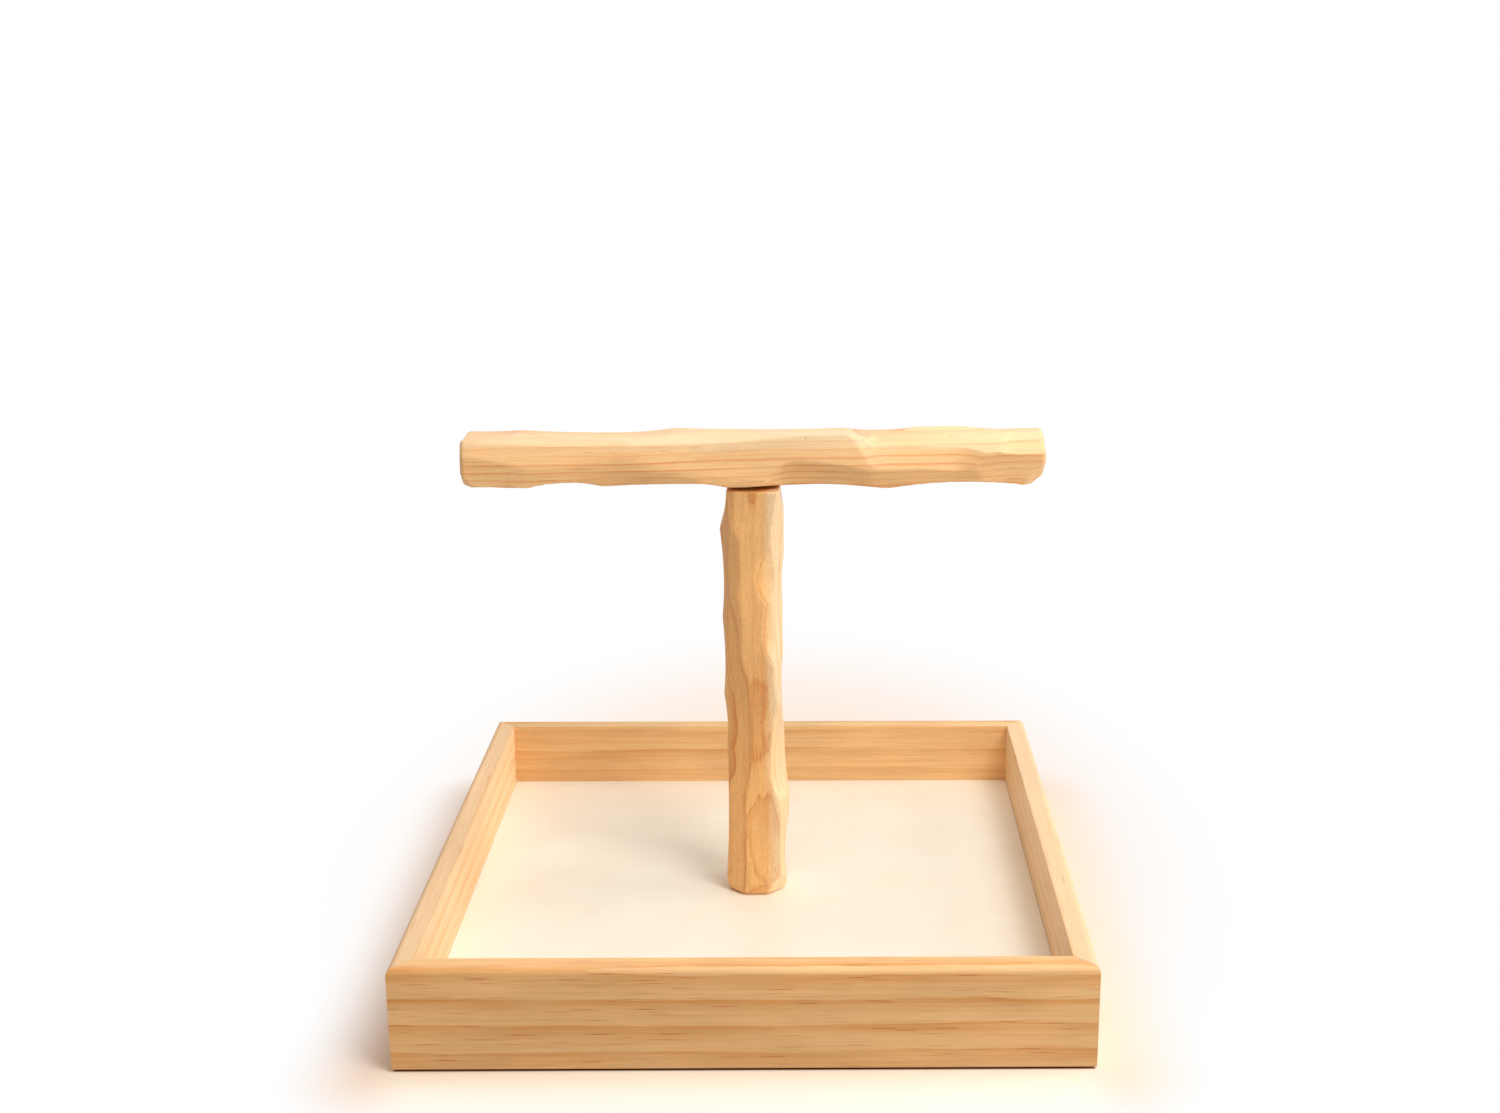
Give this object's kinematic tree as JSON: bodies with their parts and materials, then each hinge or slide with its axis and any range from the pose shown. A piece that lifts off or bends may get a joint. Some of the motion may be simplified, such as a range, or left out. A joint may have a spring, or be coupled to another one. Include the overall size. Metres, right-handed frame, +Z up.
{
  "type": "tabletop parrot perch",
  "caption": "Tabletop perch for a parrot: square mitred wooden tray with a white floor, a hand-carved post screwed to its middle and a hand-carved crossbar screwed on top.",
  "frame": {"origin": "under the middle of the tray, on the surface that it stands on", "axes": "+X to the right along the crossbar, +Y to the rear, +Z up along the post"},
  "size_m": [0.4064, 0.4064, 0.3352],
  "materials": {
    "tray_wood": "bare planed pine, pale honey with amber grain",
    "carved_wood": "bare hand-carved pine, sanded smooth",
    "white_board": "particle board with a smooth cream-white facing, satin",
    "steel": "zinc plated, satin",
    "brass": "machined, satin",
    "pad_rubber": "matt dark rubber"
  },
  "bodies": {
    "tray": {"front_rail": "tray_wood", "rear_rail": "tray_wood", "left_rail": "tray_wood", "right_rail": "tray_wood", "base_board": "white_board", "corner_brads": "steel", "board_brads": "steel", "foot_pad_front_left": "pad_rubber", "foot_pad_front_right": "pad_rubber", "foot_pad_rear_left": "pad_rubber", "foot_pad_rear_right": "pad_rubber", "base_bolt": "steel", "base_washer": "steel", "top_washer": "steel", "base_nut": "steel"},
    "post_link": {"post_insert": "brass"},
    "post": {"post": "carved_wood", "hanger_bolt": "steel"},
    "crossbar_link": {"crossbar_insert": "brass"},
    "crossbar": {"crossbar": "carved_wood"}
  },
  "joints": [
    {"name": "post_lift", "type": "slide", "parent": "tray", "child": "post_link", "axis": [0, 0, 1], "range_m": [0, 0.01553]},
    {"name": "post_turn", "type": "hinge", "parent": "post_link", "child": "post", "pos_m": [0.0018, 0.0035, 0.0201], "axis": [0, 0, 1], "range_deg": [0, 3960]},
    {"name": "crossbar_lift", "type": "slide", "parent": "post", "child": "crossbar_link", "axis": [0, 0, 1], "range_m": [0, 0.01553]},
    {"name": "crossbar_turn", "type": "hinge", "parent": "crossbar_link", "child": "crossbar", "pos_m": [0.0018, 0.0035, 0.2981], "axis": [0, 0, 1], "range_deg": [0, 3960]}
  ],
  "couplings": [
    {"joint": "post_lift", "follows": "post_turn", "m_per_rad": 0.00022458},
    {"joint": "crossbar_lift", "follows": "crossbar_turn", "m_per_rad": 0.00022458}
  ]
}
